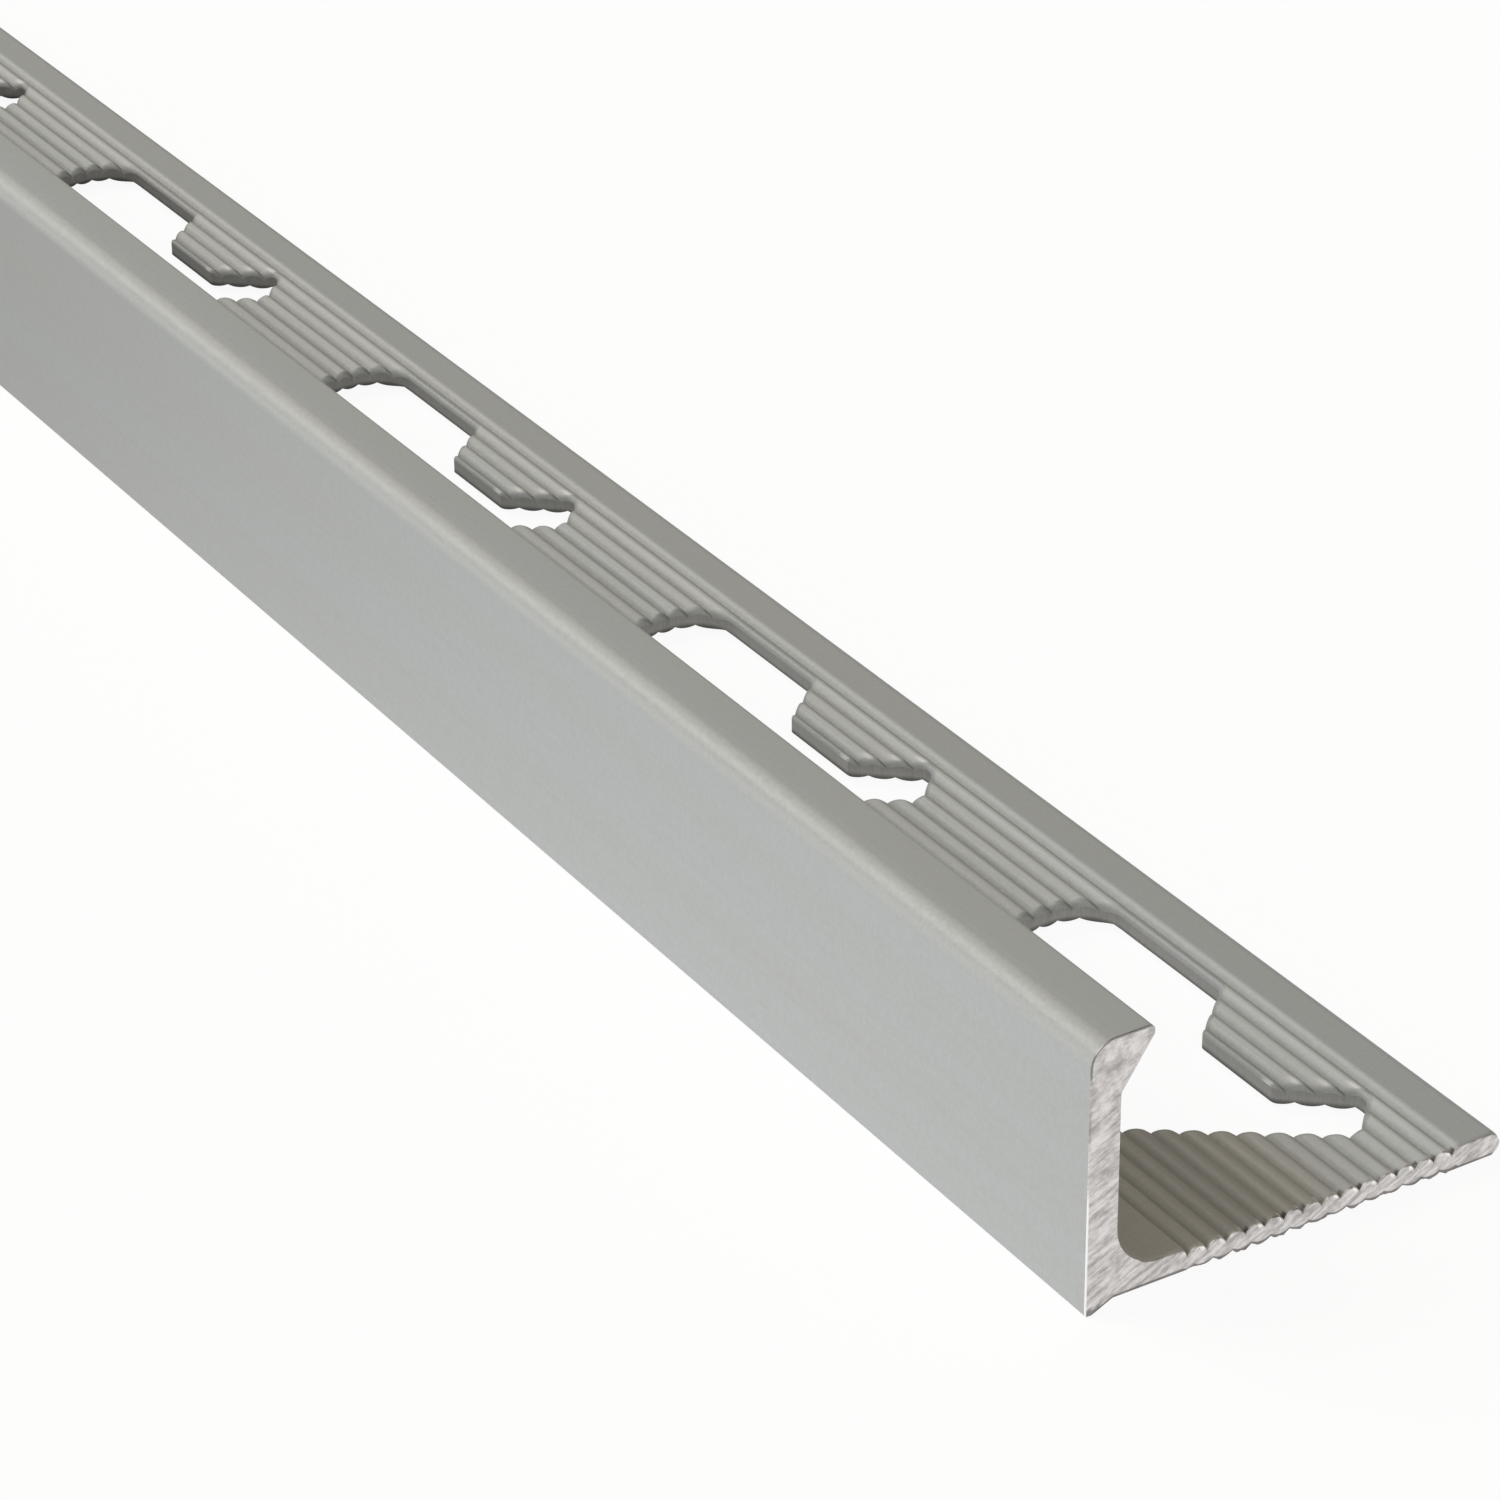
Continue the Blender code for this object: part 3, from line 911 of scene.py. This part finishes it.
def sawn_material(finish_and_painted_light, section):
    """Bare sawn aluminium: slanted saw marks, torn spots, and the burr's lines along its edges.

    The leg's lower and upper edges are parabolas over a triangle wave of x, with the beads' pitch and
    heights, and beside the beads the lower edge is straight. A dark line follows it up from a smear at the
    toe. Painted glints sit beside the grooves of the upper edge.
    """
    material, graph = new_graph("sawn_aluminium")
    sizes, marks = section.sizes, Marks
    half = section.pitch / 2
    inwards = graph.axis("X") - LOW.x
    height = graph.axis("Z") - LOW.z
    slope = (0.0, math.radians(25.0), 0.0)
    scratch = graph.noise((800.0, 800.0, 4600.0), 2.0, 0.55, slope)
    fine = graph.noise((4200.0, 4200.0, 12000.0), 2.0, 0.6, slope)
    patch = graph.noise(1300.0, 3.0, 0.55)
    calm = graph.ramp(height, *marks.calm_up)
    tone = scratch * calm.line(0.5, 0.2) + fine * 0.22 + patch * calm.line(0.28, 0.58)

    # the bullnose's dark rim and the upright's bright outer edge
    side = (sizes.bullnose - inwards).at_least(0.0)
    above = (height - (sizes.height - sizes.bullnose)).at_least(0.0)
    outwards = (side * side + above * above) ** 0.5 - sizes.bullnose
    upper = graph.ramp(height - sizes.height, *marks.rim_under_top)
    middle = graph.ramp(height, *marks.rim_middle) * graph.ramp(height, *marks.rim_middle_ends)
    rim = graph.ramp(outwards + patch * 0.00014, *marks.rim_from_nose) * (upper + middle * 0.5)
    edge = graph.ramp(inwards, *marks.edge_in) * graph.ramp(height, *marks.edge_up)

    # the leg's lower and upper edges
    def beads(start, valley, crest):
        off_crest = 1.0 - (inwards - start).wave(half) / half
        return valley + (crest - valley) * (1.0 - off_crest * off_crest)

    past_beads = (section.top_start - inwards).at_least(inwards - section.end)
    on_beads = graph.ramp(past_beads, marks.blend, 0.0)
    slant = sizes.leg_level / (sizes.toe_width - sizes.toe)
    plain = ((inwards - sizes.toe) * slant).at_least(0.0).at_most(sizes.leg_level)
    plain = plain - graph.ramp(inwards - section.end, 0.0, marks.blend) * sizes.tip_drop
    lower = beads(section.under_start, section.under_valley, section.under_crest)
    lower = height - (lower * on_beads + plain * (1.0 - on_beads))
    line = graph.ramp(lower, *marks.line_over_edge) * graph.ramp(inwards - sizes.toe, 0.0, marks.blend)
    smear = graph.ramp(lower + patch * 0.0008, *marks.smear_over_edge)
    smear = smear * graph.ramp(inwards, *marks.smear_in)
    upper_edge = beads(section.top_start, section.valley, section.crest)
    # painted glints beside the grooves of the upper edge
    edge_glint = graph.ramp((inwards - section.top_start + SPECK_SHIFT).wave(half), *marks.fleck_from_middle)
    edge_glint = edge_glint * graph.ramp(height - upper_edge, *marks.fleck_under_crest)
    edge_glint = edge_glint * on_beads * graph.ramp(patch, 0.40, 0.50)

    colour = graph.layered(
        finish_and_painted_light.sawn_dark,
        (graph.ramp(tone, 0.35, 0.63), finish_and_painted_light.sawn),
        (rim * 0.75, finish_and_painted_light.rim),
        (line * 0.8, finish_and_painted_light.foot_line),
        (smear * 0.7, finish_and_painted_light.smear),
        (edge, finish_and_painted_light.upright_edge),
        (edge_glint, finish_and_painted_light.edge_glint))
    graph.metal(colour, 0.36 + patch * 0.2, scratch * 0.6 + fine * 0.4, 0.00004)
    return material


def punched_material(finish_and_painted_light, section):
    """Sheared wall of a hole: burnished at the top and torn below, with short upright scratches.

    Its lower edge is dark, and the wall is darker and browner near the upright.
    """
    material, graph = new_graph("punched_aluminium")
    inwards = graph.axis("X") - (LOW.x + section.top_start)
    height = graph.axis("Z") - LOW.z
    scratch = graph.noise((14000.0, 14000.0, 900.0), 2.0, 0.6)
    torn = graph.noise(5000.0, 3.0, 0.6)
    relief = scratch * 0.6 + torn * 0.4
    colour = graph.layered(
        [0.85 * part for part in finish_and_painted_light.punched],
        (graph.ramp(relief, 0.35, 0.65), finish_and_painted_light.punched),
        # darker and browner near the upright
        (graph.ramp(inwards + torn * 0.002, *Marks.darkening_in) * 0.8, finish_and_painted_light.darkening),
        (graph.ramp(height, *Marks.dark_up) * 0.75, finish_and_painted_light.wall_edge))
    graph.metal(colour, 0.50 + torn * 0.2, relief, 0.00002)
    return material


def floor_material(studio):
    """Pale matt floor. The camera and reflections see it lifted towards white, and it keeps its shadows.

    In reflections it grows darker with the distance from the profile's near end, a painted fall-off of light.
    """
    material, graph = new_graph("pale_floor")
    diffuse = graph.add("ShaderNodeBsdfDiffuse", None, {"Color": opaque(studio.floor_colour)})
    white = graph.add("ShaderNodeEmission", None, {"Color": opaque((1.0, 1.0, 1.0)), "Strength": 1.0})
    dark = graph.add("ShaderNodeBsdfDiffuse", None, {"Color": opaque((0.0, 0.0, 0.0))})
    camera = graph.add("ShaderNodeLightPath", output="Is Camera Ray")
    glossy = graph.add("ShaderNodeLightPath", output="Is Glossy Ray")
    seen = camera * studio.floor_glow + glossy * studio.floor_gloss
    lifted = graph.add("ShaderNodeMixShader", None, {0: seen, 1: diffuse, 2: white})
    # painted fall-off of light: reflections see the floor darker away from the near end
    away = graph.ramp(graph.axis("Y"), LOW.y + studio.fall_start, LOW.y + studio.fall_end)
    fallen = glossy * away * studio.floor_fall
    graph.end(graph.add("ShaderNodeMixShader", None, {0: fallen, 1: lifted, 2: dark}))
    return material


def soft_light(name, place, size, watts, tint):
    """Square soft light that faces the near part of the profile and stays out of the camera's sight."""
    light = bpy.data.lights.new(name, "AREA")
    light.size = size
    light.energy = watts
    light.color = tint
    lamp = bpy.data.objects.new(name, light)
    lamp.location = place
    lamp.rotation_euler = (LIT - Vector(place)).to_track_quat("-Z", "Y").to_euler()
    lamp.visible_camera = False
    bpy.context.scene.collection.objects.link(lamp)


# operators

class PROFILE_OT_camera(bpy.types.Operator):
    """Puts the camera at the reference view"""
    bl_idname = "profile.camera"
    bl_label = "Camera"

    def execute(self, context):
        studio = context.scene.profile_studio
        data = bpy.data.cameras.new("camera")
        data.lens = studio.lens
        data.sensor_width = 36.0
        data.clip_start = 0.01
        data.clip_end = 50.0
        camera = bpy.data.objects.new("camera", data)
        camera.location = studio.camera
        camera.rotation_euler = studio.turn
        context.scene.collection.objects.link(camera)
        context.scene.camera = camera
        return {"FINISHED"}


class PROFILE_OT_studio(bpy.types.Operator):
    """Builds the pale floor, the surroundings and the soft key light"""
    bl_idname = "profile.studio"
    bl_label = "Studio"

    def execute(self, context):
        scene, studio = context.scene, context.scene.profile_studio
        scene.view_settings.view_transform = "Standard"
        half = studio.floor_size / 2
        mesh = bpy.data.meshes.new("floor")
        corners = [(-half, -half, 0.0), (half, -half, 0.0), (half, half, 0.0), (-half, half, 0.0)]
        mesh.from_pydata(corners, [], [(0, 1, 2, 3)])
        mesh.materials.append(floor_material(studio))
        floor = bpy.data.objects.new("floor", mesh)
        scene.collection.objects.link(floor)

        world = bpy.data.worlds.new("surroundings")
        world.use_nodes = True
        scene.world = world
        graph = Graph(world.node_tree)
        sideways = graph.ramp(graph.axis("X", "Generated"), *SIDEWAYS)
        skywards = graph.ramp(graph.axis("Z", "Generated"), *SKYWARDS)
        sky = graph.mix(sideways, studio.bright_side, studio.dark_side)
        tint = graph.mix(skywards, studio.horizon, sky)
        background = graph.add("ShaderNodeBackground", None, {"Color": tint, "Strength": 1.0})
        graph.end(background, "ShaderNodeOutputWorld")

        for side in ("side", "front"):
            soft_light(side + "_light", *(
                getattr(studio, side + part) for part in ("_place", "_size", "_power", "_colour")))
        return {"FINISHED"}


class PROFILE_OT_profile(bpy.types.Operator):
    """Builds the punched and beaded angle profile over its CAD solid"""
    bl_idname = "profile.profile"
    bl_label = "Angle profile"

    def execute(self, context):
        scene = context.scene
        section = Section(scene.profile_section, scene.profile_beads)
        hole = Hole(section, scene.profile_holes)
        mesh = close_surface(build_surface(section, hole, scene.profile_holes), section, LOW)
        finish_and_painted_light = scene.profile_finish
        mesh.materials.append(satin_material(finish_and_painted_light, section, hole))
        mesh.materials.append(sawn_material(finish_and_painted_light, section))
        mesh.materials.append(punched_material(finish_and_painted_light, section))
        piece = bpy.data.objects.new(PIECE, mesh)
        scene.collection.objects.link(piece)
        weighted = piece.modifiers.new("weighted_normals", "WEIGHTED_NORMAL")
        weighted.keep_sharp = True
        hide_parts("angle_profile")
        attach(piece, "root")
        return {"FINISHED"}


class PROFILE_PT_panel(bpy.types.Panel):
    """Sizes, finishes and steps of the angle profile"""
    bl_idname = "PROFILE_PT_panel"
    bl_label = "Angle profile"
    bl_space_type = "VIEW_3D"
    bl_region_type = "UI"
    bl_category = "Profile"

    def draw(self, context):
        for name in GROUPS:
            group = getattr(context.scene, name)
            box = self.layout.box()
            box.label(text=type(group).__doc__)
            for key in type(group).__annotations__:
                box.prop(group, key)
        for step in STEPS:
            self.layout.operator(step.bl_idname)


GROUPS = {
    "profile_section": SectionSizes,
    "profile_beads": BeadSizes,
    "profile_holes": HoleSizes,
    "profile_finish": FinishAndPaintedLight,
    "profile_studio": StudioSettings,
}
STEPS = (PROFILE_OT_camera, PROFILE_OT_studio, PROFILE_OT_profile)


def register():
    for group in GROUPS.values():
        bpy.utils.register_class(group)
    for name, group in GROUPS.items():
        setattr(bpy.types.Scene, name, bpy.props.PointerProperty(type=group))
    for item in (*STEPS, PROFILE_PT_panel):
        bpy.utils.register_class(item)


def unregister():
    for item in (PROFILE_PT_panel, *reversed(STEPS)):
        bpy.utils.unregister_class(item)
    for name in GROUPS:
        delattr(bpy.types.Scene, name)
    for group in GROUPS.values():
        bpy.utils.unregister_class(group)


def main():
    register()
    bpy.ops.profile.camera()
    bpy.ops.profile.studio()
    bpy.ops.profile.profile()


if __name__ == "__main__":
    main()
